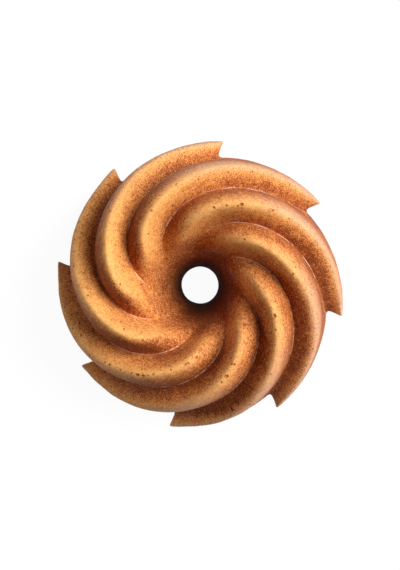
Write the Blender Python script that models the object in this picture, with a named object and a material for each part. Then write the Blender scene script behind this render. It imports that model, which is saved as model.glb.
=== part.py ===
"""Ring cake with eight swirling flutes, standing on its trimmed base.

Metres, +Z up. The origin is the middle of the base, on the axis of the tube hole.
The crust is the browned skin, which also lines the hole. The crumb is the sponge inside it.
Angles of the cake run clockwise from +Y, seen from above, because that is the way it swirls.
"""
import math

import bmesh
import bpy
import numpy as np

# Overall sizes. At the foot the tips stand out by TIP_STAND beyond the grooves.
FLUTES = 8
TIP_RADIUS = 0.120
TIP_STAND = 0.013
HEIGHT = 0.090
CROWN_RADIUS = 0.064
HOLE_RADIUS = 0.0152

# Flutes: depth of a groove under its crests, and where the flutes fade out inside the funnel
CROWN_DEPTH = 0.021
FADE_RADIUS = 0.025
FIRST_GROOVE = math.radians(11.4)

# Section of a flute, as shares of its width. The crest is nearly upright on the crown, and at the
# foot it leans over and ends in a sharp tip.
CROWN_LEAN = -0.02
FOOT_LEAN = 0.453
OUTER_ROUNDING = 0.6
INNER_ROUNDING = 0.3
TIP_ROUNDING = 0.05
FOOT_FILLET = 0.12
FOOT_POWER = 1.2

# Swirl: turn of a groove against its distance in from the foot
SWIRL_RATE = math.radians(1760.0)
SWIRL_SLOWING = math.radians(5100.0)
FOOT_LAG = math.radians(1300.0)
FOOT_LAG_REACH = 0.006

# The foot slipped round unevenly when the cake was turned out, most on one side
FOOT_SLIP = math.radians(2.1)
FOOT_SLIP_SIDE = math.radians(145.0)

# Groove profile: superellipse powers across and up. The wall's power up is 1, for a straight foot.
FUNNEL_ACROSS = 2.4
FUNNEL_UP = 1.35
WALL_ACROSS = 2.5

# Which way the flutes stand out: up on the crown, nearly level at the foot and in the hole
FOOT_DIRECTION = math.radians(20.0)
OUTWARD_POWER = 1.3
INWARD_POWER = 0.6

# Skin and the fit of the crumb in it
CRUST_THICKNESS = 0.002
CRUMB_GAP = 0.0003

# Mesh fineness
PROFILE_SAMPLES = 400
TRACE_SAMPLES = 900
ROWS = 34
STEEP_SHARE = 0.4
OUTER_COLUMNS = 12
INNER_COLUMNS = 6
SHARP_ANGLE = math.radians(50.0)

CRUST_COLOUR = (0.60, 0.26, 0.07, 1.0)
CRUST_ROUGHNESS = 0.5
CRUMB_COLOUR = (0.86, 0.62, 0.30, 1.0)
CRUMB_ROUGHNESS = 0.9

FLUTE_ANGLE = 2.0 * math.pi / FLUTES
GROOVE_RADIUS = TIP_RADIUS - TIP_STAND
CROWN_GROOVE_HEIGHT = HEIGHT - CROWN_DEPTH
WALL_SLOPE = (GROOVE_RADIUS - CROWN_RADIUS) / (CROWN_GROOVE_HEIGHT * WALL_ACROSS)
FOOT_STAND = math.cos(FOOT_DIRECTION) + WALL_SLOPE * math.sin(FOOT_DIRECTION)
FOOT_DEPTH = TIP_STAND / FOOT_STAND

# The flutes are traced this far below the base, and cut off there
CUT_REACH = FOOT_DEPTH


def ease(value):
    """Smooth step from 0 to 1."""
    value = np.clip(value, 0.0, 1.0)
    return value * value * (3.0 - 2.0 * value)


def soft(value, rounding):
    """A straight line from 0 to 1 whose start is rounded to level."""
    return (np.hypot(value, rounding) - rounding) / (np.hypot(1.0, rounding) - rounding)


def groove_profile():
    """Radius and height along the groove bottoms: up the hole, over the crown and down the wall."""
    turn = np.linspace(0.0, math.pi / 2.0, PROFILE_SAMPLES)
    across, up = np.cos(turn), np.sin(turn)
    funnel_radius = CROWN_RADIUS - (CROWN_RADIUS - HOLE_RADIUS) * across ** (2.0 / FUNNEL_ACROSS)
    funnel_height = CROWN_GROOVE_HEIGHT * up ** (2.0 / FUNNEL_UP)
    wall_radius = CROWN_RADIUS + (GROOVE_RADIUS - CROWN_RADIUS) * up ** (2.0 / WALL_ACROSS)
    wall_height = CROWN_GROOVE_HEIGHT * across ** 2
    radius = np.concatenate([[HOLE_RADIUS], funnel_radius, wall_radius[1:],
                             [GROOVE_RADIUS + WALL_SLOPE * CUT_REACH]])
    height = np.concatenate([[-CUT_REACH], funnel_height, wall_height[1:], [-CUT_REACH]])
    path = np.concatenate([[0.0], np.cumsum(np.hypot(np.diff(radius), np.diff(height)))])
    even = np.linspace(0.0, path[-1], TRACE_SAMPLES)
    outside = even > path[PROFILE_SAMPLES]
    return np.interp(even, path, radius), np.interp(even, path, height), outside


def swirl_turn(radius):
    """How far a groove has turned back at a radius."""
    inward = GROOVE_RADIUS - radius
    lag = FOOT_LAG * inward * np.exp(-np.abs(inward) / FOOT_LAG_REACH)
    return SWIRL_RATE * inward - SWIRL_SLOWING * inward ** 2 - lag


def flute_section(station, low):
    """Phase and rise across one flute, from groove (0) to groove (1).

    low is 0 at the crown, where the crest is round, and 1 at the foot, where it is a sharp tip.
    """
    rising = station <= 0.5
    side = np.where(rising, 2.0 * station, 2.0 * (1.0 - station))
    crown_rounding = np.where(rising, OUTER_ROUNDING, INNER_ROUNDING)
    footing = low ** FOOT_POWER
    rounding = crown_rounding + (TIP_ROUNDING - crown_rounding) * footing
    rise = 1.0 - soft(1.0 - side, rounding)
    rise = np.where(rising, rise, soft(rise, FOOT_FILLET * footing))
    lean = CROWN_LEAN + (FOOT_LEAN - CROWN_LEAN) * footing
    return station + lean * rise, rise


def inset_section(across, rise, width, inset):
    """The section moved straight in by one thickness, with mitred corners."""
    ahead = np.concatenate([across[:, 1:], across[:, :1] + width], axis=1)
    ahead_rise = np.roll(rise, -1, axis=1)
    run, climb = ahead - across, ahead_rise - rise
    length = np.hypot(run, climb)
    normal_x, normal_y = -climb / length, run / length
    before_x, before_y = np.roll(normal_x, 1, axis=1), np.roll(normal_y, 1, axis=1)
    mitre = inset / (1.0 + normal_x * before_x + normal_y * before_y)
    return across - mitre * (normal_x + before_x), rise - mitre * (normal_y + before_y)


def rows_above_base(points):
    """One column of points, cut off at the base and spaced evenly, but wider on steep stretches."""
    above = np.nonzero(points[:, 2] > 0.0)[0]
    first, last = above[0], above[-1]
    ends = []
    for inner, outer in ((first, first - 1), (last, last + 1)):
        share = points[inner, 2] / (points[inner, 2] - points[outer, 2])
        ends.append(points[inner] + share * (points[outer] - points[inner]))
    column = np.vstack([ends[0], points[first:last + 1], ends[1]])
    steps = np.diff(column, axis=0) * (1.0, 1.0, STEEP_SHARE)
    path = np.concatenate([[0.0], np.cumsum(np.linalg.norm(steps, axis=1))])
    even = np.linspace(0.0, path[-1], ROWS)
    column = np.column_stack([np.interp(even, path, column[:, axis]) for axis in range(3)])
    column[[0, -1], 2] = 0.0
    return column


def skin(columns, inset=0.0):
    """Points over the whole cake, as columns that follow the flutes from the hole to the foot."""
    radius, height, outside = groove_profile()
    drop = 1.0 - height / CROWN_GROOVE_HEIGHT
    low = np.where(outside, np.clip(drop, 0.0, 1.0), 0.0)
    fade = ease((radius - FADE_RADIUS) / (CROWN_RADIUS - FADE_RADIUS))
    depth = np.where(outside, CROWN_DEPTH + (FOOT_DEPTH - CROWN_DEPTH) * ease(low), CROWN_DEPTH * fade)
    outward = FOOT_DIRECTION + (math.pi / 2.0 - FOOT_DIRECTION) * (1.0 - low) ** OUTWARD_POWER
    inward = math.pi / 2.0 * (1.0 + np.clip(drop, 0.0, 1.0) ** INWARD_POWER)
    direction = np.where(outside, outward, inward)[:, None]
    turn = swirl_turn(radius)
    path = np.concatenate([[0.0], np.cumsum(np.hypot(np.diff(radius), np.diff(height)))])
    slant = np.cos(np.arctan(radius * np.gradient(turn, path)))
    width = (FLUTE_ANGLE * radius * slant)[:, None]

    station = np.linspace(0.0, 1.0, columns, endpoint=False)[None, :]
    phase, rise = flute_section(station, low[:, None])
    across, rise = inset_section(phase * width, rise * depth[:, None], width, inset)
    phase = across / width
    ring = radius[:, None] + rise * np.cos(direction)
    level = height[:, None] + rise * np.sin(direction)
    grid = []
    for flute in range(FLUTES):
        angle = FIRST_GROOVE + (flute + phase) * FLUTE_ANGLE - turn[:, None]
        angle = angle + FOOT_SLIP * np.cos(angle - FOOT_SLIP_SIDE) * low[:, None] ** FOOT_POWER
        points = np.stack([ring * np.sin(angle), ring * np.cos(angle), level], axis=2)
        grid += [rows_above_base(points[:, column]) for column in range(columns)]
    return np.array(grid)


def add_skin(mesh, grid):
    """Faces over a grid of points. Returns its open edges, round the hole and round the foot."""
    columns = [[mesh.verts.new(point) for point in column] for column in grid]
    open_edges = []
    for here, there in zip(columns, columns[1:] + columns[:1]):
        for row in range(ROWS - 1):
            mesh.faces.new((here[row], there[row], here[row + 1]))
            mesh.faces.new((there[row], there[row + 1], here[row + 1]))
        open_edges += [mesh.edges.get((here[end], there[end])) for end in (0, -1)]
    return open_edges


def baked_piece(name, skins, colour, roughness):
    """One closed piece: a shell between two skins, or the whole inside of one, with a flat base."""
    mesh = bmesh.new()
    hole_edges, foot_edges = [], []
    for grid in skins:
        edges = add_skin(mesh, grid)
        hole_edges += edges[0::2]
        foot_edges += edges[1::2]
    if len(skins) == 1:
        base_faces = [hole_edges + foot_edges]
    else:
        base_faces = [hole_edges, foot_edges]
    for edges in base_faces:
        bmesh.ops.triangle_fill(mesh, use_beauty=True, edges=edges)
    bmesh.ops.recalc_face_normals(mesh, faces=mesh.faces)
    data = bpy.data.meshes.new(name)
    mesh.to_mesh(data)
    mesh.free()
    data.shade_smooth()
    data.set_sharp_from_angle(angle=SHARP_ANGLE)

    material = bpy.data.materials.new(name)
    material.use_nodes = True
    shader = material.node_tree.nodes["Principled BSDF"]
    shader.inputs["Base Color"].default_value = colour
    shader.inputs["Roughness"].default_value = roughness
    data.materials.append(material)
    piece = bpy.data.objects.new(name, data)
    bpy.context.collection.objects.link(piece)
    return piece


def main():
    for old in list(bpy.data.objects):
        bpy.data.objects.remove(old)
    crust = [skin(OUTER_COLUMNS), skin(INNER_COLUMNS, CRUST_THICKNESS)]
    crumb = [skin(INNER_COLUMNS, CRUST_THICKNESS + CRUMB_GAP)]
    baked_piece("crust", crust, CRUST_COLOUR, CRUST_ROUGHNESS)
    baked_piece("crumb", crumb, CRUMB_COLOUR, CRUMB_ROUGHNESS)


main()
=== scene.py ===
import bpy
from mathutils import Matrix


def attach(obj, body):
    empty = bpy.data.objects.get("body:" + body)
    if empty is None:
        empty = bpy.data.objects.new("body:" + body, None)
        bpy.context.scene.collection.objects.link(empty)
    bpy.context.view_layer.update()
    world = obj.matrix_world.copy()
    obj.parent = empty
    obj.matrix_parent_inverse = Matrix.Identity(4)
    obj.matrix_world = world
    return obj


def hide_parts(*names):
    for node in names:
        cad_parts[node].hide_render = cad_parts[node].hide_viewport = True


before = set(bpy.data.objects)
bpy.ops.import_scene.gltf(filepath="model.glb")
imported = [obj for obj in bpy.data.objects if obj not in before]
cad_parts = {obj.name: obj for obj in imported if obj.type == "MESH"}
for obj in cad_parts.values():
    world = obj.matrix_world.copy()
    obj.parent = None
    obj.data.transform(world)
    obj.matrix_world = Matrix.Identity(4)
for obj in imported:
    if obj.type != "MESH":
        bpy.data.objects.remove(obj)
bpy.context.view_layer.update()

# Looks of a ring cake with swirling flutes, turned out and seen from above. Metres, +Z up.
# The cake stands on the table, with the middle of its base at the origin. Angles of its flutes run
# clockwise from +Y, seen from above, because that is the way they swirl.

import math
from types import SimpleNamespace

import bmesh
import bpy
from mathutils import Matrix, Vector

bl_info = {
    "name": "Fluted Ring Cake",
    "version": (1, 0, 0),
    "blender": (4, 5, 0),
    "location": "3D View > Sidebar > Ring Cake",
    "description": "Builds a ring cake with swirling flutes, and the table that it stands on",
    "category": "Add Mesh",
}

MM = 0.001
SHARP_ANGLE = math.radians(50.0)
SENSOR_WIDTH = 36.0
WHITE = (1.0, 1.0, 1.0, 1.0)

# Points closer than this are one point, and points lower than this lie on the table.
MERGE_DISTANCE = 0.00001

# How far away the crust is looked for along a line of sight.
SIGHT_LENGTH = 10.0

# Least and most stretch of a pore or hole along one of its sides.
PIT_STRETCH = (0.75, 1.3)

# Radius of the smallest pinholes against the largest.
LEAST_PINHOLE = 0.3

# What each point of the skin remembers for the looks: see skin_point.
SKIN_NOTES = ("sine", "cosine", "low", "funnel", "crease", "cut")

# How brown the crust is across a flute, from groove (0) over its crest to the next groove (1), as
# pairs of a place and a browning: inside the crown, on the crown and on the wall outside it. The
# darker grooves are partly browner crust and partly painted shade.
INSIDE_BROWNING_AND_SHADE = ((0.0, 0.54), (0.12, 0.66), (0.26, 0.54), (0.42, 0.41), (0.62, 0.30), (0.76, 0.39),
                   (0.88, 0.52), (1.0, 0.54))
CROWN_BROWNING_AND_SHADE = ((0.0, 0.68), (0.1, 0.74), (0.22, 0.67), (0.34, 0.43), (0.50, 0.14), (0.64, 0.31),
                  (0.80, 0.51), (0.9, 0.67), (1.0, 0.68))
WALL_BROWNING_AND_SHADE = ((0.0, 0.82), (0.12, 0.82), (0.30, 0.72), (0.45, 0.56), (0.58, 0.28), (0.68, 0.42),
                 (0.80, 0.68), (0.92, 0.83), (1.0, 0.82))

# In the same form, where the flanks lie that get painted shade on one side of the cake, and the painted
# sheen.
OUTER_FLANK_SHADE = ((0.0, 0.5), (0.12, 0.9), (0.25, 1.0), (0.38, 0.8), (0.49, 0.0), (1.0, 0.0))
INNER_FLANK_SHADE = ((0.0, 0.7), (0.12, 0.0), (0.51, 0.0), (0.6, 0.6), (0.72, 1.0), (0.93, 1.0),
               (1.0, 0.7))
PAINTED_SHEEN = ((0.0, 0.0), (0.15, 0.04), (0.32, 0.48), (0.48, 1.0), (0.57, 0.75), (0.68, 0.0), (1.0, 0.0))

# Larger pores that the camera sees: millimetres right of and above the middle of the base, as if
# they lay on the table, and their width.
LARGE_PORES = (
    (34.4, 66.6, 3.5), (60.1, 61.6, 2.3), (11.3, 64.1, 2.6), (22.0, 65.7, 2.2), (-52.5, -75.0, 3.5),
    (-12.0, -66.0, 2.3), (-75.7, -66.7, 2.2), (-66.6, -70.9, 2.0), (-47.5, -75.8, 2.8), (-2.8, -60.1, 2.6),
    (61.8, -25.3, 3.4), (36.9, -32.8, 2.4), (28.6, -65.9, 2.3), (22.0, -75.8, 3.8), (17.9, -80.8, 2.3),
    (26.2, -103.2, 3.5), (36.1, -92.4, 2.3),
)


def length(name, default, description):
    return bpy.props.FloatProperty(name=name, description=description, default=default,
                                   unit="LENGTH", precision=5)


def angle(name, degrees, description):
    return bpy.props.FloatProperty(name=name, description=description, default=math.radians(degrees),
                                   subtype="ANGLE")


def number(name, default, description):
    return bpy.props.FloatProperty(name=name, description=description, default=default)


def count(name, default, description):
    return bpy.props.IntProperty(name=name, description=description, default=default, min=0)


def colour(name, default, description):
    return bpy.props.FloatVectorProperty(name=name, description=description, default=(*default, 1.0),
                                         subtype="COLOR", size=4, min=0.0, max=1.0)


class CakeShape(bpy.types.PropertyGroup):
    """The form of the cake's skin"""

    flutes: count("Flutes", 8, "Number of flutes round the cake")
    tip_radius: length("Tip Radius", 120 * MM, "Radius of the flute tips at the base")
    tip_stand: length("Tip Stand", 13 * MM, "How far a tip stands out beyond the grooves at the base")
    height: length("Height", 90 * MM, "Height of the crests at the crown")
    crown_radius: length("Crown Radius", 64 * MM, "Radius at which the grooves are highest")
    hole_radius: length("Hole Radius", 15.2 * MM, "Radius of the middle hole at the base")
    crown_depth: length("Crown Depth", 21 * MM, "Depth of a groove under its crests at the crown")
    fade_radius: length("Fade Radius", 25 * MM, "Radius at which the flutes fade out in the funnel")
    first_groove: angle("First Groove", 11.4, "Place of the first groove at the foot")
    crown_lean: number("Crown Lean", -0.02, "Lean of the crests at the crown, as a share of a flute")
    foot_lean: number("Foot Lean", 0.453, "Lean of the tips at the foot, as a share of a flute")
    outer_rounding: number("Outer Rounding", 0.6, "Roundness of a crest on its outer side")
    inner_rounding: number("Inner Rounding", 0.3, "Roundness of a crest on its inner side")
    tip_rounding: number("Tip Rounding", 0.05, "Roundness of a tip at the foot")
    foot_fillet: number("Foot Fillet", 0.12, "Roundness of a notch at the foot")
    foot_power: number("Foot Power", 1.2, "How late on the wall the flutes take their form at the foot")
    swirl_rate: number("Swirl Rate", math.radians(1760.0), "Turn of a groove for each metre inwards")
    swirl_slowing: number("Swirl Slowing", math.radians(5100.0), "How the swirl slows down inwards")
    foot_lag: number("Foot Lag", math.radians(1300.0), "Turn that is missing close to the foot")
    foot_lag_reach: length("Foot Lag Reach", 6 * MM, "Distance over which that turn is missing")
    foot_slip: angle("Foot Slip", 2.1, "How far the foot slipped round when the cake was turned out")
    foot_slip_side: angle("Foot Slip Side", 145.0, "The side on which it slipped most")
    funnel_across: number("Funnel Across", 2.4, "Superellipse power of the funnel, across")
    funnel_up: number("Funnel Up", 1.35, "Superellipse power of the funnel, upwards")
    wall_across: number("Wall Across", 2.5, "Superellipse power of the outer wall, across")
    foot_direction: angle("Foot Direction", 20.0, "How far from level the flutes stand out at the foot")
    outward_power: number("Outward Power", 1.3, "How late on the wall the flutes turn level")
    inward_power: number("Inward Power", 0.6, "How late in the funnel the flutes turn level")
    crown_share: number("Crown Share", 0.34, "Share of the rows of points that lie inside the crown")
    row_power: number("Row Power", 2.2, "How the rows of points gather at the crown")


class CrustSurface(bpy.types.PropertyGroup):
    """The fine form of the crust"""

    rows: count("Rows", 168, "Rows of points from the hole to the foot")
    columns: count("Columns", 44, "Columns of points across a flute")
    gather: number("Gather", 0.55, "How far the columns gather at the creases and crests")
    crumb_gap: length("Crumb Gap", 0.3 * MM, "Gap between the crust and the crumb")
    wave_height: length("Wave Height", 0.9 * MM, "Height of the shallow unevenness of the crust")
    wave_length: length("Wave Length", 14 * MM, "Width of the shallow unevenness")
    ripple_height: length("Ripple Height", 0.25 * MM, "Height of the fine unevenness")
    ripple_length: length("Ripple Length", 4 * MM, "Width of the fine unevenness")
    pit_gap: length("Pore Gap", 3.2 * MM, "Least distance between two pores")
    pit_density: number("Pore Density", 7000.0, "Pores in a square metre of crust")
    pit_least: length("Least Pore", 0.3 * MM, "Radius of the smallest pores")
    pit_most: length("Largest Pore", 1.0 * MM, "Radius of the largest scattered pores")
    pit_power: number("Pore Power", 3.2, "How few of the pores are large")
    pit_depth: number("Pore Depth", 0.7, "Depth of a pore against its radius")
    crown_pores: number("Crown Pores", 0.35, "How many pores the crown has against the foot")
    pit_seed: count("Pore Seed", 7, "Seed of the pores' places")


class CrumbSurface(bpy.types.PropertyGroup):
    """The fine form of the crumb"""

    pit_gap: length("Hole Gap", 2.6 * MM, "Least distance between two holes of the cut face")
    pit_density: number("Hole Density", 30000.0, "Holes in a square metre of the cut face")
    pit_least: length("Least Hole", 0.45 * MM, "Radius of the smallest holes")
    pit_most: length("Largest Hole", 1.9 * MM, "Radius of the largest holes")
    pit_power: number("Hole Power", 3.0, "How few of the holes are large")
    pit_depth: number("Hole Depth", 0.8, "Depth of a hole against its radius")
    pit_seed: count("Hole Seed", 3, "Seed of the holes' places")


class BakeColours(bpy.types.PropertyGroup):
    """The colours of crust and crumb"""

    honey: colour("Honey", (1.0, 0.525, 0.165), "Palest grains on the crests")
    golden: colour("Golden", (0.93, 0.41, 0.112), "Lightly baked crust on the crests")
    amber: colour("Amber", (0.79, 0.33, 0.095), "Crust beside the crests")
    # The browner colours of this ramp are partly browner crust and partly painted shade in the grooves.
    brown: colour("Brown", (0.63, 0.205, 0.055), "Crust on the flanks")
    red_brown: colour("Red Brown", (0.46, 0.128, 0.037), "Crust in the grooves")
    deep: colour("Deep", (0.21, 0.048, 0.012), "Darkest grains in the grooves")
    # Dark is partly darker baking and partly painted shade down the hole; the next colour is painted shade
    # at the hole's foot.
    dark: colour("Dark", (0.09, 0.018, 0.005), "Most heavily baked crust, down the hole")
    painted_rim_shade: colour("Rim", (0.016, 0.006, 0.003), "Nearly black crust round the foot of the hole")
    # Painted shade inside the pores and pinholes.
    painted_pit_shade: colour("Pit", (0.24, 0.065, 0.018), "Inside of the pores")
    # Painted highlight: pale lines where light catches the creases.
    painted_highlight: colour("Film", (0.98, 0.77, 0.60), "Pale film that stays in the creases")
    # Painted sheen: the pale reflection of the room on the outer flanks.
    painted_sheen: colour("Bloom", (0.81, 0.53, 0.37), "Pale bloom on the outer sides of the flutes")
    crumb: colour("Crumb", (0.86, 0.60, 0.28), "Cut sponge")
    crumb_shade: colour("Crumb Shade", (0.62, 0.34, 0.11), "Inside of the holes in the cut sponge")


class BakePattern(bpy.types.PropertyGroup):
    """How the browning and the other colours are spread"""

    blotch_width: length("Blotch Width", 11 * MM, "Width of the broad blotches")
    blotch_gain: number("Blotch Gain", 0.4, "How much the blotches change the browning")
    mottle_width: length("Mottle Width", 2.4 * MM, "Width of the mottling")
    mottle_gain: number("Mottle Gain", 0.8, "How much the mottling changes the browning")
    grain_width: length("Grain Width", 0.65 * MM, "Width of the grains of the speckle")
    grain_gain: number("Grain Gain", 2.0, "How much the grains change the browning")
    most_browning: number("Most Browning", 0.97, "Most browning, before blotches, mottling and grains")
    # Painted light and shade: the crust is browner towards the right and paler towards the left.
    painted_shade_to_right: number("Right Gain", 0.6, "Browning that is gained over a metre to the right")
    # Painted shade: on these sides the flanks turned from the light are browner, and the foot below them.
    outer_shade_side: angle("Outer Flank Side", 270.0, "Side with browner outer flanks, clockwise from +Y")
    outer_flank_painted_shade: number("Outer Flank Gain", 0.45, "How much browner these outer flanks are")
    outer_foot_painted_shade: number("Outer Foot Gain", 0.04, "How much browner the foot is below these flanks")
    inner_shade_side: angle("Inner Flank Side", 141.6, "Side with browner inner flanks, clockwise from +Y")
    inner_flank_painted_shade: number("Inner Flank Gain", 0.3, "How much browner these inner flanks are")
    # Down the funnel the browning is partly darker baking and partly painted shade.
    funnel_browning: number("Funnel Browning", 0.56, "Browning at the top of the funnel")
    funnel_gain_and_shade: number("Funnel Gain", 0.55, "Browning that is gained down the funnel")
    # Painted shade: the funnel is browner and the hole darker on one side, as in a cast shadow.
    shaded_hole_side: angle("Hole Side", 107.2, "Side on which the hole is darker, clockwise from +Y")
    hole_side_painted_shade: number("Hole Side Gain", 0.16, "How much browner the funnel is on its darker side")
    # Partly darker baking and partly painted shade down the hole.
    hole_bake_and_shade: number("Hole Dark", 0.62, "How dark the hole gets downwards")
    hole_side_painted_dark: number("Hole Side Dark", 0.55, "How much darker the hole gets on its darker side")
    # Painted sheen on the crown and on the wall.
    crown_painted_sheen: number("Crown Bloom", 0.06, "Strength of the pale bloom on the crown")
    wall_painted_sheen: number("Wall Bloom", 0.44, "Strength of the pale bloom on the wall")
    speck_strength: number("Speck Strength", 0.6, "Strength of the dark specks on the wall")
    # Painted shade inside the pores and the pinholes.
    pore_shade_strength: number("Pore Strength", 0.7, "How far the pores take the colour of their inside")
    pinhole_shade_strength: number("Pinhole Strength", 0.8, "How far the pinholes take that colour too")
    pinhole_gap: length("Pinhole Gap", 4.4 * MM, "Distance between two places for a pinhole")
    pinhole_radius: length("Pinhole Radius", 1.35 * MM, "Radius of the largest pinholes")
    pinhole_share: number("Pinhole Share", 0.55, "Share of the places that have a pinhole")
    # Painted highlight in the creases.
    painted_highlight_strength: number("Film Strength", 0.75, "Strength of the pale film in the creases")
    painted_highlight_core: length("Film Core", 0.3 * MM, "Distance from the crease at which the film begins to fade")
    painted_highlight_edge: length("Film Edge", 0.85 * MM, "Distance from the crease at which the film ends")
    relief: length("Relief", 0.5 * MM, "Height of the finest relief of the crust")
    crumb_blotch_width: length("Crumb Blotch Width", 6 * MM, "Width of the soft blotches of the crumb")
    crumb_grain_width: length("Crumb Grain Width", 0.9 * MM, "Width of the crumb's open grain")
    crumb_relief: length("Crumb Relief", 0.6 * MM, "Height of the crumb's open grain")


class TableStage(bpy.types.PropertyGroup):
    """Table, light and camera"""

    view_right: number("View Right", 0.0806, "Slope of the view to the right of straight down")
    view_up: number("View Up", 0.0403, "Slope of the view towards the top of the picture")
    view_distance: length("View Distance", 1.5, "Distance of the camera from the middle of the base")
    lens: number("Lens", 114.4, "Focal length in millimetres, on a 36 mm sensor")
    table_size: length("Table Size", 6.0, "Width of the table")
    table_white: number("Table White", 0.82, "How light the table top is for the cake that stands on it")
    shadow: number("Shadow", 0.09, "How much of the lamps' light and shadow shows on the table")
    glow: number("Glow", 0.95, "How bright the table shows where the lamps don't count")
    key_power: number("Key Power", 580.0, "Power of the key lamp in watts")
    key_turn: angle("Key Turn", 70.0, "Side of the key lamp, clockwise from the top of the picture")
    key_rise: angle("Key Rise", 38.0, "Height of the key lamp over the table")
    key_size: length("Key Size", 5.5, "Width of the key lamp")
    fill_power: number("Fill Power", 74.0, "Power of the fill lamp in watts")
    fill_turn: angle("Fill Turn", 280.0, "Side of the fill lamp, clockwise from the top of the picture")
    fill_rise: angle("Fill Rise", 12.0, "Height of the fill lamp over the table")
    fill_size: length("Fill Size", 2.8, "Width of the fill lamp")
    lamp_distance: length("Lamp Distance", 6.0, "Distance of the lamps")
    surround: number("Surround", 0.055, "Brightness of the pale room round the table")


class Value:
    """An output of a node. Arithmetic on it adds Math nodes to its tree."""

    def __init__(self, tree, socket):
        self.tree = tree
        self.socket = socket

    def output(self, name):
        return Value(self.tree, pick(self.socket.node.outputs, name))

    def __add__(self, other):
        return self.tree.math("ADD", self, other)

    def __radd__(self, other):
        return self.tree.math("ADD", other, self)

    def __sub__(self, other):
        return self.tree.math("SUBTRACT", self, other)

    def __rsub__(self, other):
        return self.tree.math("SUBTRACT", other, self)

    def __mul__(self, other):
        return self.tree.math("MULTIPLY", self, other)

    def __rmul__(self, other):
        return self.tree.math("MULTIPLY", other, self)

    def __truediv__(self, other):
        return self.tree.math("DIVIDE", self, other)

    def __rtruediv__(self, other):
        return self.tree.math("DIVIDE", other, self)

    def __pow__(self, other):
        return self.tree.math("POWER", self, other)

    def __gt__(self, other):
        return self.tree.math("GREATER_THAN", self, other)

    def __lt__(self, other):
        return self.tree.math("LESS_THAN", self, other)


def pick(sockets, name):
    """A socket by its number or its name, among those that the node's settings leave in use."""
    if isinstance(name, int):
        return [socket for socket in sockets if socket.enabled][name]
    return next(socket for socket in sockets if socket.enabled and socket.name == name)


class Tree:
    """A node tree that is written as Python expressions."""

    def __init__(self, nodes):
        self.nodes = nodes

    def node(self, kind, settings=None, values=None):
        """Adds a node, with its settings first and then the values or links of its sockets."""
        node = self.nodes.nodes.new(kind)
        for name, setting in (settings or {}).items():
            if name == "stops":
                self.set_stops(node.color_ramp, setting)
            else:
                setattr(node, name, setting)
        self.fill(node, values or {})
        return Value(self, pick(node.outputs, 0)) if node.outputs else None

    def fill(self, node, values):
        """Sets or links sockets of a node."""
        for name, value in values.items():
            self.feed(pick(node.inputs, name), value)

    def feed(self, socket, value):
        if isinstance(value, Value):
            self.nodes.links.new(value.socket, socket)
        else:
            socket.default_value = value

    def set_stops(self, ramp, stops):
        while len(ramp.elements) < len(stops):
            ramp.elements.new(1.0)
        for element, (place, shade) in zip(ramp.elements, stops):
            element.position = place
            element.color = shade

    def math(self, operation, *values):
        return self.node("ShaderNodeMath", {"operation": operation}, dict(enumerate(values)))

    def clamp(self, value):
        return self.node("ShaderNodeClamp", None, {"Value": value})

    def ease(self, value):
        """Smooth step from 0 to 1."""
        value = self.clamp(value)
        return value * value * (3.0 - 2.0 * value)

    def band(self, value, start, end):
        """Smooth step of a value from 0 at its start to 1 at its end."""
        return self.node("ShaderNodeMapRange", {"interpolation_type": "SMOOTHSTEP"},
                         {"Value": value, "From Min": start, "From Max": end})

    def blend(self, share, low, high):
        """A number between low and high."""
        return self.node("ShaderNodeMix", {"data_type": "FLOAT", "clamp_factor": False},
                         {"Factor": share, "A": low, "B": high})

    def tint(self, share, low, high):
        """A colour between low and high."""
        return self.node("ShaderNodeMix", {"data_type": "RGBA"}, {"Factor": share, "A": low, "B": high})

    def vector(self, x, y, z):
        return self.node("ShaderNodeCombineXYZ", None, {0: x, 1: y, 2: z})

    def parts(self, vector):
        x = self.node("ShaderNodeSeparateXYZ", None, {0: vector})
        return x, x.output("Y"), x.output("Z")

    def joined(self, *pieces):
        node = self.node("GeometryNodeJoinGeometry")
        for piece in pieces:
            self.nodes.links.new(piece.socket, node.socket.node.inputs[0])
        return node

    def noise(self, place, size, detail, seed=0.0):
        """Noise between 0 and 1, with blobs of about the given size."""
        return self.node("ShaderNodeTexNoise", {"noise_dimensions": "4D"},
                         {"Vector": place, "W": seed, "Scale": 1.0 / size, "Detail": detail})


def group_inputs(tree, settings):
    """Gives a geometry tree one named input for each property, and returns them as values."""
    source = tree.nodes.nodes.new("NodeGroupInput")
    identifiers = {}
    for key in settings.__annotations__:
        setting = settings.bl_rna.properties[key]
        kind = "NodeSocketInt" if setting.type == "INT" else "NodeSocketFloat"
        socket = tree.nodes.interface.new_socket(setting.name, in_out="INPUT", socket_type=kind)
        socket.description = setting.description
        if setting.unit == "LENGTH":
            socket.subtype = "DISTANCE"
        elif setting.subtype == "ANGLE":
            socket.subtype = "ANGLE"
        identifiers[key] = socket.identifier
    sockets = {socket.identifier: socket for socket in source.outputs}
    values = {key: Value(tree, sockets[name]) for key, name in identifiers.items()}
    return SimpleNamespace(**values), identifiers


def closed_copy(node):
    """The mesh of a CAD node, with its loose triangles joined."""
    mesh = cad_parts[node].data.copy()
    solid = bmesh.new()
    solid.from_mesh(mesh)
    bmesh.ops.remove_doubles(solid, verts=solid.verts, dist=MERGE_DISTANCE)
    solid.to_mesh(mesh)
    solid.free()
    normals = mesh.attributes.get("custom_normal")
    if normals is not None:
        mesh.attributes.remove(normals)
    return mesh


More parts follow.
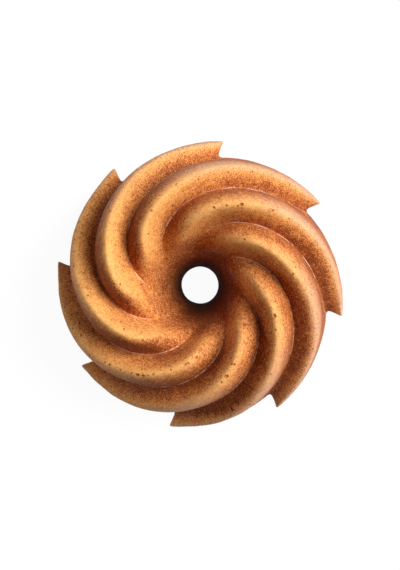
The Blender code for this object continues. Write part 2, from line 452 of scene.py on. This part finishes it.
def grown_piece(name, build, start, settings_in_use, finish):
    """Runs a geometry tree on a start mesh and keeps its result as a plain mesh object."""
    tree = Tree(bpy.data.node_groups.new(name, "GeometryNodeTree"))
    tree.nodes.interface.new_socket("Geometry", in_out="INPUT", socket_type="NodeSocketGeometry")
    tree.nodes.interface.new_socket("Geometry", in_out="OUTPUT", socket_type="NodeSocketGeometry")
    start_mesh = Value(tree, tree.nodes.nodes.new("NodeGroupInput").outputs[0])
    groups = [group_inputs(tree, settings) for settings in settings_in_use]
    result = build(tree, start_mesh, *[values for values, _ in groups])
    output = tree.nodes.nodes.new("NodeGroupOutput")
    tree.nodes.links.new(result.socket, output.inputs[0])

    host = bpy.data.objects.new(name + "_start", start)
    bpy.context.scene.collection.objects.link(host)
    modifier = host.modifiers.new(name, "NODES")
    modifier.node_group = tree.nodes
    for settings, (_, identifiers) in zip(settings_in_use, groups):
        for key, identifier in identifiers.items():
            modifier[identifier] = getattr(settings, key)
    bpy.context.view_layer.update()
    evaluated = host.evaluated_get(bpy.context.evaluated_depsgraph_get())
    mesh = bpy.data.meshes.new_from_object(evaluated)
    bpy.data.objects.remove(host)
    mesh.materials.clear()
    mesh.materials.append(finish)
    mesh.name = name
    piece = bpy.data.objects.new(name, mesh)
    bpy.context.scene.collection.objects.link(piece)
    return piece


def soft_line(tree, value, rounding):
    """A straight line from 0 to 1 whose start is rounded to level."""
    arc = tree.math("SQRT", value * value + rounding * rounding) - rounding
    return arc / (tree.math("SQRT", rounding * rounding + 1.0) - rounding)


def flute_rise(tree, shape, station, low):
    """Rise across a flute, from 0 in its groove to 1 on its crest, and how far it is at the foot."""
    rising = station < 0.5
    side = 1.0 - tree.math("ABSOLUTE", station * 2.0 - 1.0)
    footing = low ** shape.foot_power
    rounding = tree.blend(rising, shape.inner_rounding, shape.outer_rounding)
    rise = 1.0 - soft_line(tree, 1.0 - side, tree.blend(footing, rounding, shape.tip_rounding))
    filleted = soft_line(tree, rise, shape.foot_fillet * footing + MERGE_DISTANCE)
    return tree.blend(rising, filleted, rise), footing


def skin_point(tree, shape, gather, along, around):
    """Place of a point of the skin, and what the looks need to know about it.

    along runs from 0 at the hole's base edge over the crown to 1 at the foot, and around counts the
    flutes clockwise.
    """
    flute = tree.math("FLOOR", around)
    even = around - flute
    station = even - gather * tree.math("SINE", even * (4.0 * math.pi)) / (4.0 * math.pi)

    outside = along > shape.crown_share
    share = tree.blend(outside, shape.crown_share, 1.0 - shape.crown_share)
    reach = tree.math("ABSOLUTE", along - shape.crown_share) / share
    groove_radius = shape.tip_radius - shape.tip_stand
    groove_height = shape.height - shape.crown_depth
    wall_width = groove_radius - shape.crown_radius
    wall_slope = wall_width / (groove_height * shape.wall_across)
    foot_sine = tree.math("SINE", shape.foot_direction)
    foot_stand = tree.math("COSINE", shape.foot_direction) + wall_slope * foot_sine
    foot_depth = shape.tip_stand / foot_stand
    foot_rise, _ = flute_rise(tree, shape, station, outside)
    overrun = outside * foot_rise * foot_depth * foot_sine / groove_height
    drop = reach ** shape.row_power * (overrun + 1.0)
    fall = tree.math("MINIMUM", drop, 1.0)
    low = outside * fall

    wall_radius = shape.crown_radius + wall_width * fall ** (1.0 / shape.wall_across)
    wall_radius = wall_radius + wall_slope * groove_height * (drop - fall)
    funnel = (1.0 - (1.0 - fall) ** shape.funnel_up) ** (1.0 / shape.funnel_across)
    funnel_radius = shape.crown_radius - (shape.crown_radius - shape.hole_radius) * funnel
    radius = tree.blend(outside, funnel_radius, wall_radius)
    height = groove_height * (1.0 - drop)

    fade = tree.ease((radius - shape.fade_radius) / (shape.crown_radius - shape.fade_radius))
    wall_depth = tree.blend(tree.ease(low), shape.crown_depth, foot_depth)
    depth = tree.blend(outside, shape.crown_depth * fade, wall_depth)
    outward = tree.blend((1.0 - low) ** shape.outward_power, shape.foot_direction, math.pi / 2.0)
    inward = (fall ** shape.inward_power + 1.0) * (math.pi / 2.0)
    direction = tree.blend(outside, inward, outward)

    rise, footing = flute_rise(tree, shape, station, low)
    phase = station + tree.blend(footing, shape.crown_lean, shape.foot_lean) * rise
    ring = radius + rise * depth * tree.math("COSINE", direction)
    level = height + rise * depth * tree.math("SINE", direction)

    inner = groove_radius - radius
    lag_left = tree.math("EXPONENT", 0.0 - tree.math("ABSOLUTE", inner) / shape.foot_lag_reach)
    lag = shape.foot_lag * inner * lag_left
    turn = shape.swirl_rate * inner - shape.swirl_slowing * inner * inner - lag
    turned = shape.first_groove + (flute + phase) * (2.0 * math.pi) / shape.flutes - turn
    turned = turned + shape.foot_slip * tree.math("COSINE", turned - shape.foot_slip_side) * footing

    return SimpleNamespace(
        place=tree.vector(ring * tree.math("SINE", turned), ring * tree.math("COSINE", turned), level),
        sine=tree.math("SINE", station * (2.0 * math.pi)),
        cosine=tree.math("COSINE", station * (2.0 * math.pi)),
        low=low,
        funnel=(1.0 - outside) * fall,
        crease=tree.math("MINIMUM", station, 1.0 - station) * ring * (2.0 * math.pi) / shape.flutes,
        cut=depth / shape.crown_depth,
    )


def skin_sheet(tree, shape, surface):
    """The skin as a sheet that is open at the hole and at the foot, both at table level."""
    grid = tree.node("GeometryNodeMeshGrid", None,
                     {"Vertices X": surface.rows, "Vertices Y": surface.columns * shape.flutes + 1.0})
    x, y, _ = tree.parts(tree.node("GeometryNodeInputPosition"))
    point = skin_point(tree, shape, surface.gather, x + 0.5, (y + 0.5) * shape.flutes)
    for name in SKIN_NOTES:
        grid = kept(tree, grid, name, getattr(point, name))
    return flipped(tree, welded(tree, placed(tree, grid, point.place)))


def placed(tree, geometry, place):
    return tree.node("GeometryNodeSetPosition", None, {"Geometry": geometry, "Position": place})


def welded(tree, geometry):
    return tree.node("GeometryNodeMergeByDistance", None,
                     {"Geometry": geometry, "Distance": MERGE_DISTANCE})


def flipped(tree, sheet):
    return tree.node("GeometryNodeFlipFaces", None, {"Mesh": sheet})


def kept(tree, geometry, name, value, kind="FLOAT"):
    """Keeps a value at each point under a name."""
    return tree.node("GeometryNodeStoreNamedAttribute", {"data_type": kind, "domain": "POINT"},
                     {"Geometry": geometry, "Name": name, "Value": value})


def recalled(tree, name, kind="FLOAT"):
    return tree.node("GeometryNodeInputNamedAttribute", {"data_type": kind}, {"Name": name})


def moved_out(tree, sheet, distance):
    """Moves a sheet along its normals, but keeps its open edges level with the table."""
    here = tree.node("GeometryNodeInputPosition")
    offset = tree.node("ShaderNodeVectorMath", {"operation": "SCALE"},
                       {"Vector": tree.node("GeometryNodeInputNormal"), "Scale": distance})
    x, y, z = tree.parts(tree.node("ShaderNodeVectorMath", {"operation": "ADD"}, {0: here, 1: offset}))
    _, _, height = tree.parts(here)
    z = tree.math("MAXIMUM", z, 0.0) * (height > MERGE_DISTANCE)
    return placed(tree, sheet, tree.vector(x, y, z))


def without_base(tree, body):
    """A closed body as a sheet that is open where it stood on the table."""
    _, _, height = tree.parts(tree.node("GeometryNodeInputPosition"))
    return tree.node("GeometryNodeDeleteGeometry", {"domain": "FACE", "mode": "ALL"},
                     {"Geometry": body, "Selection": height < MERGE_DISTANCE})


def base_face(tree, sheets):
    """The flat cut face between the open edges of the sheets, facing down."""
    open_edge = tree.node("GeometryNodeInputMeshEdgeNeighbors") < 1.5
    edges = tree.node("GeometryNodeMeshToCurve", None, {"Mesh": sheets, "Selection": open_edge})
    face = tree.node("GeometryNodeFillCurve", {"mode": "TRIANGLES"}, {"Curve": edges})
    return flipped(tree, face)


def pits(tree, points, spin, radius, surface, seed):
    """Rounded cutters, one at each point, sunk to their depth along its normal."""
    bead = tree.node("GeometryNodeMeshIcoSphere", None, {"Radius": 1.0, "Subdivisions": 2})
    stretch = random_between(tree, *PIT_STRETCH, seed)
    size = tree.vector(radius * stretch, radius / stretch, radius * surface.pit_depth)
    return tree.node("GeometryNodeRealizeInstances", None, {"Geometry": tree.node(
        "GeometryNodeInstanceOnPoints", None,
        {"Points": points, "Instance": bead, "Rotation": spin, "Scale": size})})


def scattered_pits(tree, sheet, selection, share, surface):
    """Pits of random radius, few of them large, scattered over the selected faces of a sheet."""
    points = tree.node(
        "GeometryNodeDistributePointsOnFaces", {"distribute_method": "POISSON"},
        {"Mesh": sheet, "Selection": selection, "Distance Min": surface.pit_gap,
         "Density Max": surface.pit_density, "Density Factor": share, "Seed": surface.pit_seed})
    chance = random_between(tree, 0.0, 1.0, surface.pit_seed + 1.0)
    radius = tree.blend(chance ** surface.pit_power, surface.pit_least, surface.pit_most)
    return pits(tree, points, points.output("Rotation"), radius, surface, surface.pit_seed + 2.0)


def random_between(tree, low, high, seed):
    return tree.node("FunctionNodeRandomValue", {"data_type": "FLOAT"},
                     {"Min": low, "Max": high, "Seed": seed})


def cut_away(tree, body, cutters):
    return tree.node("GeometryNodeMeshBoolean", {"operation": "DIFFERENCE", "solver": "MANIFOLD"},
                     {"Mesh 1": body, "Mesh 2": cutters})


def finished(tree, body, finish):
    """The end of a tree: smooth shading with sharp edges where faces meet steeply, and a material."""
    sharp = tree.node("GeometryNodeInputMeshEdgeAngle") > SHARP_ANGLE
    body = tree.node("GeometryNodeSetShadeSmooth", {"domain": "FACE"},
                     {"Geometry": body, "Shade Smooth": True})
    body = tree.node("GeometryNodeSetShadeSmooth", {"domain": "EDGE"},
                     {"Geometry": body, "Selection": sharp, "Shade Smooth": False})
    body = tree.node("GeometryNodeRealizeInstances", None, {"Geometry": body})
    return tree.node("GeometryNodeSetMaterial", None, {"Geometry": body, "Material": finish})


def crust_tree(stage, crumb, finish):
    """The tree that grows the crust round the crumb. Its start mesh has a point for each larger pore."""
    eye = camera_place(stage)

    def build(tree, start, shape, surface):
        here = tree.node("GeometryNodeInputPosition")
        wave = tree.noise(here, surface.wave_length, detail=1.0) - 0.5
        ripple = tree.noise(here, surface.ripple_length, detail=2.0, seed=4.0) - 0.5
        unevenness = wave * surface.wave_height + ripple * surface.ripple_height
        skin = moved_out(tree, skin_sheet(tree, shape, surface), unevenness)
        inside = tree.node("GeometryNodeObjectInfo", None, {"Object": crumb}).output("Geometry")
        lining = moved_out(tree, without_base(tree, inside), surface.crumb_gap)
        sides = tree.joined(skin, flipped(tree, lining))
        shell = welded(tree, tree.joined(sides, base_face(tree, sides)))

        share = recalled(tree, "low") * (1.0 - surface.crown_pores) + surface.crown_pores
        small = scattered_pits(tree, skin, True, share * (1.0 - recalled(tree, "funnel")), surface)

        x, y, width = tree.parts(tree.node("GeometryNodeInputPosition"))
        points = kept(tree, start, "radius", width * 0.5)
        source = tree.vector(*eye)
        sight = tree.node("ShaderNodeVectorMath", {"operation": "SUBTRACT"},
                          {0: tree.vector(x, y, 0.0), 1: source})
        hit = tree.node("GeometryNodeRaycast", None,
                        {"Target Geometry": skin, "Source Position": source, "Ray Direction": sight,
                         "Ray Length": SIGHT_LENGTH})
        points = kept(tree, points, "normal", hit.output("Hit Normal"), "FLOAT_VECTOR")
        points = placed(tree, points, hit.output("Hit Position"))
        spin = tree.node("FunctionNodeAlignRotationToVector", {"axis": "Z"},
                         {"Vector": recalled(tree, "normal", "FLOAT_VECTOR")})
        large = pits(tree, points, spin, recalled(tree, "radius"), surface, surface.pit_seed + 3.0)

        body = cut_away(tree, shell, tree.joined(small, large))
        for name in SKIN_NOTES:
            nearest = tree.node("GeometryNodeSampleNearestSurface", {"data_type": "FLOAT"},
                                {"Mesh": skin, "Value": recalled(tree, name)})
            body = kept(tree, body, name, nearest)
        distance = tree.node("GeometryNodeProximity", {"target_element": "FACES"}, {"Geometry": skin})
        body = kept(tree, body, "depth", distance.output("Distance"))
        return finished(tree, body, finish)

    return build


def crumb_tree(finish):
    """The tree that opens the crumb's cut face. Its start mesh is the closed crumb."""
    def build(tree, start, surface):
        _, _, height = tree.parts(tree.node("GeometryNodeInputPosition"))
        holes = scattered_pits(tree, start, height < MERGE_DISTANCE, 1.0, surface)
        return finished(tree, cut_away(tree, start, holes), finish)

    return build


def new_material(name):
    """A material with an empty Principled shader, and its tree."""
    material = bpy.data.materials.new(name)
    material.use_nodes = True
    return material, Tree(material.node_tree), material.node_tree.nodes["Principled BSDF"]


def noted(tree, name):
    """A value that the piece keeps at each point."""
    return tree.node("ShaderNodeAttribute", {"attribute_name": name}).output("Fac")


def share_across(tree, place, stops):
    """How much there is of something at a place across a flute."""
    greys = [(at, (share, share, share, 1.0)) for at, share in stops]
    ramp = tree.node("ShaderNodeValToRGB", {"stops": greys}, {"Fac": place})
    ramp.socket.node.color_ramp.interpolation = "CARDINAL"
    return ramp


def facing(tree, bearing, middle, start, end):
    """1 on the side of the cake that faces a bearing and 0 on the far side.

    start and end are the cosines of the angle from that bearing between which it changes.
    """
    return tree.band(tree.math("COSINE", bearing - middle), start, end)


def crust_spot(tree, bake):
    """What the looks of the crust need to know about a spot of it.

    low and funnel run from 0 at the crown to 1 at the foot, down the wall and down the hole. cut is the
    depth of the grooves there against their depth at the crown, and crease the distance from a crease.
    """
    place = tree.node("ShaderNodeTexCoord").output("Object")
    turn = tree.math("ARCTAN2", noted(tree, "sine"), noted(tree, "cosine")) / (2.0 * math.pi)
    x, y, _ = tree.parts(place)
    bearing = tree.math("ARCTAN2", x, y)
    return SimpleNamespace(
        place=place,
        right=x,
        across=tree.math("FRACT", turn + 1.0),
        low=noted(tree, "low"),
        funnel=noted(tree, "funnel"),
        cut=noted(tree, "cut"),
        crease=noted(tree, "crease"),
        depth=noted(tree, "depth"),
        blotch=tree.noise(place, bake.blotch_width, detail=3.0),
        mottle=tree.noise(place, bake.mottle_width, detail=3.0, seed=2.0),
        grain=tree.noise(place, bake.grain_width, detail=1.0, seed=5.0),
        # The side of the funnel with painted shade.
        shaded_hole_side=facing(tree, bearing, bake.shaded_hole_side, -0.6, 0.2),
        # The next two mark the sides of the cake whose flanks get painted shade.
        outer_shade_half=facing(tree, bearing, bake.outer_shade_side, -0.1, 0.8),
        inner_shade_half=facing(tree, bearing, bake.inner_shade_side, -0.1, 0.8),
    )


def crust_browning_and_shade(tree, spot, bake):
    """How brown the crust is at a spot, from 0 on the palest crests to 1 in the darkest grooves. Part of
    it is painted shade: in the grooves, down the funnel and on its one side, towards the right, and on
    the flanks turned from the light.
    """
    crown, wall, inside, outer_flank_shade_share, inner_flank_shade_share = (
        share_across(tree, spot.across, stops)
        for stops in (CROWN_BROWNING_AND_SHADE, WALL_BROWNING_AND_SHADE, INSIDE_BROWNING_AND_SHADE, OUTER_FLANK_SHADE, INNER_FLANK_SHADE))
    browning = tree.blend(tree.band(spot.low, 0.0, 0.3), crown, wall)
    browning = tree.blend(tree.band(spot.funnel, 0.0, 0.03), browning, inside)
    browning = tree.blend(tree.band(spot.funnel, 0.03, 0.16), browning,
                          spot.funnel * bake.funnel_gain_and_shade + bake.funnel_browning)
    # Painted shade on one side of the funnel.
    browning = browning + spot.shaded_hole_side * tree.band(spot.funnel, 0.04, 0.3) * bake.hole_side_painted_shade
    # Painted shade towards the right of the cake.
    browning = browning + spot.right * bake.painted_shade_to_right
    # Painted shade on the flanks turned from the light, and below on the foot.
    flanks = (spot.outer_shade_half * (outer_flank_shade_share - 0.1) * bake.outer_flank_painted_shade
              + spot.inner_shade_half * inner_flank_shade_share * bake.inner_flank_painted_shade)
    near_crown = (1.0 - tree.band(spot.low, 0.4, 0.8)) * (1.0 - tree.band(spot.funnel, 0.0, 0.1))
    browning = browning + flanks * near_crown
    browning = browning + spot.outer_shade_half * tree.band(spot.low, 0.25, 0.7) * bake.outer_foot_painted_shade
    browning = tree.math("MINIMUM", browning, bake.most_browning)
    return (browning + (spot.blotch - 0.5) * bake.blotch_gain + (spot.mottle - 0.5) * bake.mottle_gain
            + (spot.grain - 0.5) * bake.grain_gain)


def hole_darkness_and_shade(tree, spot, bake):
    """How dark the crust gets down the hole, partly darker baking and partly painted shade, first on the
    side with painted shade.
    """
    darkness = (tree.band(spot.funnel, 0.35, 0.95) * bake.hole_bake_and_shade
                + spot.shaded_hole_side * tree.band(spot.funnel, 0.15, 0.6) * bake.hole_side_painted_dark)
    return tree.clamp(darkness + (spot.grain - 0.5) * 0.3 * darkness)


def painted_grazing_sheen(tree, spot, bake):
    """Painted sheen: the pale reflection of the room on the outer sides of the flutes, weaker where these
    have painted shade.
    """
    strength = tree.blend(tree.band(spot.low, 0.0, 0.3), bake.crown_painted_sheen, bake.wall_painted_sheen)
    painted_sheen = share_across(tree, spot.across, PAINTED_SHEEN) * strength
    return painted_sheen * (1.0 - tree.band(spot.funnel, 0.0, 0.08)) * (1.0 - spot.outer_shade_half * 0.6)


def pinholes(tree, spot, bake):
    """Tiny pinholes in the crust, painted dark as shade, 1 inside them and 0 elsewhere. There are none down
    the hole.
    """
    cell = tree.node("ShaderNodeTexVoronoi", {"feature": "F1"},
                     {"Vector": spot.place, "Scale": 1.0 / bake.pinhole_gap})
    chance, size, _ = tree.parts(cell.output("Color"))
    edge = bake.pinhole_radius / bake.pinhole_gap * tree.blend(size, LEAST_PINHOLE, 1.0)
    holes = (1.0 - tree.band(cell, edge * 0.5, edge)) * (chance < bake.pinhole_share)
    return holes * (1.0 - tree.band(spot.funnel, 0.0, 0.3))


def painted_crease_highlight(tree, spot, bake):
    """Painted highlight: thin broken pale lines where light catches the creases, thinner towards the foot.
    """
    painted_highlight = (1.0 - tree.band(spot.crease, bake.painted_highlight_core, bake.painted_highlight_edge)) * tree.band(spot.cut, 0.2, 0.5)
    painted_highlight = painted_highlight * tree.band(spot.blotch, 0.4, 0.5) * (1.0 - tree.band(spot.low, 0.3, 0.7) * 0.6)
    return painted_highlight * tree.band(spot.mottle, 0.38, 0.5)


def crust_material(colours, bake):
    """Baked crust: golden on the crests, red-brown in the grooves and dark down the hole, partly as painted
    shade.

    It is browned unevenly, and part of that is painted shade: the outer flanks are browner on one side
    of the cake and the inner flanks on another, where they turn from the light. Specks, painted shade in
    pores and pinholes and a painted highlight in the creases lie over the browning, and a painted sheen
    on the outer flanks.
    """
    material, tree, shader = new_material("browned_crust")
    spot = crust_spot(tree, bake)
    holes = pinholes(tree, spot, bake)
    specks = tree.band(spot.grain, 0.55, 0.65) * tree.band(spot.low, 0.1, 0.5)
    # The ramp's browner end is partly painted shade in the grooves.
    shades = ((0.0, colours.honey), (0.18, colours.golden), (0.42, colours.amber),
              (0.62, colours.brown), (0.8, colours.red_brown), (1.0, colours.deep))
    baked = tree.node("ShaderNodeValToRGB", {"stops": shades},
                      {"Fac": tree.clamp(crust_browning_and_shade(tree, spot, bake))})
    for share, shade in (
            # Down the hole: partly darker baking, partly painted shade.
            (hole_darkness_and_shade(tree, spot, bake), colours.dark),
            # Painted sheen on the outer flanks.
            (painted_grazing_sheen(tree, spot, bake), colours.painted_sheen),
            (specks * bake.speck_strength, colours.deep),
            # Painted shade inside the pores, and in the pinholes.
            (tree.band(spot.depth, 0.05 * MM, 0.4 * MM) * bake.pore_shade_strength, colours.painted_pit_shade),
            (holes * bake.pinhole_shade_strength, colours.painted_pit_shade),
            # Painted highlight in the creases.
            (painted_crease_highlight(tree, spot, bake) * bake.painted_highlight_strength, colours.painted_highlight),
            # Painted shade: nearly black at the foot of the hole.
            (tree.band(spot.funnel, 0.72, 0.97), colours.painted_rim_shade)):
        baked = tree.tint(share, baked, shade)

    relief = spot.mottle * 0.5 + spot.grain * 0.6 - holes * 0.6
    tree.fill(shader, {
        "Base Color": baked,
        "Roughness": tree.clamp(0.5 + spot.grain * 0.2 + tree.band(spot.funnel, 0.2, 0.7) * 0.3),
        "Specular IOR Level": 0.08,
        "Sheen Weight": 0.05,
        "Sheen Roughness": 0.3,
        "Normal": tree.node("ShaderNodeBump", None,
                            {"Strength": 0.5, "Distance": bake.relief, "Height": relief}),
    })
    return material


def crumb_material(colours, bake):
    """Cut sponge: pale yellow with a fine open grain."""
    material, tree, shader = new_material("cut_crumb")
    place = tree.node("ShaderNodeTexCoord").output("Object")
    blotch = tree.noise(place, bake.crumb_blotch_width, detail=3.0)
    grain = tree.noise(place, bake.crumb_grain_width, detail=3.0, seed=3.0)
    shade = tree.clamp((blotch - 0.5) * 0.8 + tree.band(grain, 0.45, 0.75) * 0.6)
    tree.fill(shader, {
        "Base Color": tree.tint(shade, colours.crumb, colours.crumb_shade),
        "Roughness": 0.9,
        "Normal": tree.node("ShaderNodeBump", None,
                            {"Strength": 0.8, "Distance": bake.crumb_relief, "Height": grain}),
    })
    return material


def seen_directly(tree):
    """1 for what the camera sees, directly or in a reflection, and 0 for light on the object."""
    path = tree.node("ShaderNodeLightPath")
    return tree.clamp(path.output("Is Camera Ray") + path.output("Is Glossy Ray")
                      + path.output("Is Transmission Ray"))


def table_material(stage):
    """White table top, whose glow for the camera leaves only a faint shadow."""
    material, tree, shader = new_material("white_table")
    tree.fill(shader, {"Base Color": (*[stage.table_white] * 3, 1.0), "Roughness": 0.9})
    faint = tree.node("ShaderNodeBsdfDiffuse", None, {"Color": (*[stage.shadow] * 3, 1.0)})
    glow = tree.node("ShaderNodeEmission", None, {"Color": WHITE, "Strength": stage.glow})
    seen = tree.node("ShaderNodeAddShader", None, {0: faint, 1: glow})
    lit = Value(tree, shader.outputs[0])
    mixed = tree.node("ShaderNodeMixShader", None, {0: seen_directly(tree), 1: lit, 2: seen})
    tree.feed(material.node_tree.nodes["Material Output"].inputs["Surface"], mixed)
    return material


def add_table(stage):
    half = stage.table_size / 2.0
    top = bpy.data.meshes.new("table")
    top.from_pydata([(-half, -half, 0.0), (half, -half, 0.0), (half, half, 0.0), (-half, half, 0.0)],
                    [], [(0, 1, 2, 3)])
    top.materials.append(table_material(stage))
    table = bpy.data.objects.new("table", top)
    bpy.context.scene.collection.objects.link(table)


def add_lamp(name, stage):
    """A round soft lamp that points at the middle of the base."""
    power, size, turn, rise = (getattr(stage, f"{name}_{key}") for key in ("power", "size", "turn", "rise"))
    light = bpy.data.lights.new(name, "AREA")
    light.shape = "DISK"
    light.size = size
    light.energy = power
    lamp = bpy.data.objects.new(name, light)
    aim = Vector((math.sin(turn) * math.cos(rise), math.cos(turn) * math.cos(rise), math.sin(rise)))
    lamp.location = aim * stage.lamp_distance
    lamp.rotation_euler = aim.to_track_quat("Z", "Y").to_euler()
    bpy.context.scene.collection.objects.link(lamp)


def add_room(stage):
    """A dim pale room, which the camera sees as white."""
    room = bpy.data.worlds.new("pale_room")
    room.use_nodes = True
    tree = Tree(room.node_tree)
    tree.fill(room.node_tree.nodes["Background"], {
        "Color": WHITE,
        "Strength": tree.blend(seen_directly(tree), stage.surround, 1.0),
    })
    bpy.context.scene.world = room


def camera_place(stage):
    return Vector((stage.view_right, stage.view_up, 1.0)).normalized() * stage.view_distance


def add_camera(stage):
    """A camera that looks at the middle of the base, with +Y towards the top of the picture."""
    eye = camera_place(stage)
    back = eye.normalized()
    right = Vector((0.0, 1.0, 0.0)).cross(back).normalized()
    camera = bpy.data.objects.new("camera", bpy.data.cameras.new("camera"))
    camera.data.lens = stage.lens
    camera.data.sensor_width = SENSOR_WIDTH
    camera.location = eye
    camera.rotation_euler = Matrix((right, back.cross(right), back)).transposed().to_euler()
    bpy.context.scene.collection.objects.link(camera)
    bpy.context.scene.camera = camera


def finish_piece(piece, node):
    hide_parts(node)
    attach(piece, "root")


class RINGCAKE_OT_crust(bpy.types.Operator):
    """Build the baked crust, with its flutes and pores"""

    bl_idname = "ring_cake.crust"
    bl_label = "Crust"

    def execute(self, context):
        scene = context.scene
        pores = bpy.data.meshes.new("larger_pores")
        pores.from_pydata([Vector(pore) * MM for pore in LARGE_PORES], [], [])
        finish = crust_material(scene.cake_colours, scene.cake_bake)
        crumb = bpy.data.objects.new("inside", closed_copy("crumb"))
        piece = grown_piece("cake_crust", crust_tree(scene.cake_stage, crumb, finish), pores,
                            (scene.cake_shape, scene.cake_crust), finish)
        bpy.data.objects.remove(crumb)
        finish_piece(piece, "crust")
        return {"FINISHED"}


class RINGCAKE_OT_crumb(bpy.types.Operator):
    """Build the sponge inside the crust, with its cut base"""

    bl_idname = "ring_cake.crumb"
    bl_label = "Crumb"

    def execute(self, context):
        scene = context.scene
        finish = crumb_material(scene.cake_colours, scene.cake_bake)
        piece = grown_piece("cake_crumb", crumb_tree(finish), closed_copy("crumb"),
                            (scene.cake_crumb,), finish)
        finish_piece(piece, "crumb")
        return {"FINISHED"}


class RINGCAKE_OT_stage(bpy.types.Operator):
    """Set the table, the light and the camera"""

    bl_idname = "ring_cake.stage"
    bl_label = "Stage"

    def execute(self, context):
        stage = context.scene.cake_stage
        add_table(stage)
        add_lamp("key", stage)
        add_lamp("fill", stage)
        add_room(stage)
        add_camera(stage)
        context.scene.view_settings.view_transform = "Standard"
        return {"FINISHED"}


class RINGCAKE_PT_panel(bpy.types.Panel):
    """Ring cake"""

    bl_idname = "RINGCAKE_PT_panel"
    bl_label = "Ring Cake"
    bl_space_type = "VIEW_3D"
    bl_region_type = "UI"
    bl_category = "Ring Cake"

    def draw(self, context):
        for operator in OPERATORS:
            self.layout.operator(operator.bl_idname)
        for name, group in SETTINGS.items():
            self.layout.label(text=group.__doc__)
            for key in group.__annotations__:
                self.layout.prop(getattr(context.scene, name), key)


SETTINGS = {"cake_shape": CakeShape, "cake_crust": CrustSurface, "cake_crumb": CrumbSurface,
            "cake_colours": BakeColours, "cake_bake": BakePattern, "cake_stage": TableStage}
OPERATORS = (RINGCAKE_OT_stage, RINGCAKE_OT_crust, RINGCAKE_OT_crumb)


def register():
    for group in SETTINGS.values():
        bpy.utils.register_class(group)
    for name, group in SETTINGS.items():
        setattr(bpy.types.Scene, name, bpy.props.PointerProperty(type=group))
    for operator in OPERATORS:
        bpy.utils.register_class(operator)
    bpy.utils.register_class(RINGCAKE_PT_panel)


def unregister():
    bpy.utils.unregister_class(RINGCAKE_PT_panel)
    for operator in reversed(OPERATORS):
        bpy.utils.unregister_class(operator)
    for name, group in SETTINGS.items():
        delattr(bpy.types.Scene, name)
        bpy.utils.unregister_class(group)


def main():
    register()
    bpy.ops.ring_cake.stage()
    bpy.ops.ring_cake.crust()
    bpy.ops.ring_cake.crumb()


if __name__ == "__main__":
    main()
